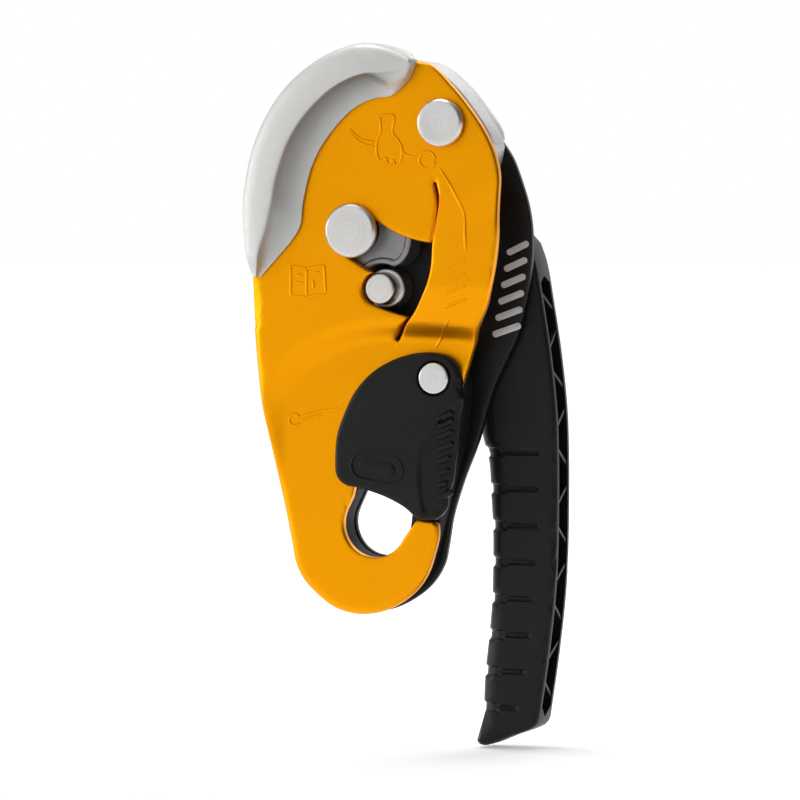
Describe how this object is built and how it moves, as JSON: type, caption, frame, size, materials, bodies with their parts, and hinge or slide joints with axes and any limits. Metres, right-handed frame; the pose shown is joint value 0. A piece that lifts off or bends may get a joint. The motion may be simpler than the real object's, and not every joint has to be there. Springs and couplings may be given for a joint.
{
  "type": "self-braking belay device",
  "caption": "Self-braking rope descender: a swinging front plate and a fixed back plate around a pivoting cam, with a sprung gate and a release handle.",
  "frame": {"origin": "centre of the carabiner hole, midway between the two plates", "axes": "+Z from the carabiner hole to the top of the plates, +Y through the plates from the swinging front plate to the back plate and handle, +X towards the handle's side"},
  "size_m": [0.0923, 0.0432, 0.2109],
  "materials": {
    "orange_anodised": "orange anodised aluminium, fine satin",
    "satin_alloy": "bead-blasted cast alloy",
    "turned_steel": "turned stainless steel, concentric lines",
    "cam_steel": "cast steel, satin",
    "spring_steel": "drawn spring wire",
    "bearing_bronze": "plain bearing bronze",
    "black_plate": "black coated aluminium, satin",
    "black_nylon": "moulded black nylon, fine grain"
  },
  "bodies": {
    "back_frame": {"fixed_side_plate": "black_plate", "spacer_block": "black_nylon", "spacer_rivet_left": "spring_steel", "spacer_rivet_right": "spring_steel", "wear_insert": "satin_alloy", "insert_rivet_upper": "spring_steel", "insert_rivet_lower": "spring_steel", "plate_pivot_rivet": "turned_steel", "plate_pivot_washer": "bearing_bronze", "plate_pivot_sleeve": "cam_steel", "stop_pin": "turned_steel", "cam_axle": "turned_steel", "hub_washer": "turned_steel", "cam_return_spring": "spring_steel", "handle_return_spring": "spring_steel"},
    "front_plate": {"moving_side_plate": "orange_anodised", "friction_guard": "satin_alloy", "guard_rivet_upper": "spring_steel", "guard_rivet_lower": "spring_steel", "gate_rivet": "turned_steel", "gate_spring": "spring_steel"},
    "gate_body": {"gate": "black_nylon"},
    "cam_body": {"cam": "cam_steel", "cam_bush": "bearing_bronze", "cam_drive_peg": "cam_steel"},
    "handle_body": {"handle": "black_nylon", "hub_bush": "bearing_bronze", "hub_cap": "black_nylon"}
  },
  "joints": [
    {"name": "plate_hinge", "type": "hinge", "parent": "back_frame", "child": "front_plate", "pos_m": [0.023, 0, 0.12], "axis": [0, 1, 0], "range_deg": [0, 95]},
    {"name": "gate_hinge", "type": "hinge", "parent": "front_plate", "child": "gate_body", "pos_m": [0.0204, 0, 0.0441], "axis": [0, 1, 0], "range_deg": [0, 26], "stiffness_Nm_per_rad": 0.02, "springref_deg": -17.19},
    {"name": "handle_hinge", "type": "hinge", "parent": "back_frame", "child": "handle_body", "pos_m": [-0.0055, 0, 0.0879], "axis": [0, -1, 0], "range_deg": [0, 105], "stiffness_Nm_per_rad": 0.05, "springref_deg": -22.92},
    {"name": "cam_hinge", "type": "hinge", "parent": "back_frame", "child": "cam_body", "pos_m": [-0.0055, 0, 0.0879], "axis": [0, -1, 0], "range_deg": [0, 20]}
  ],
  "couplings": [
    {"joint": "cam_hinge", "follows": "handle_hinge", "ratio": 0.19}
  ]
}
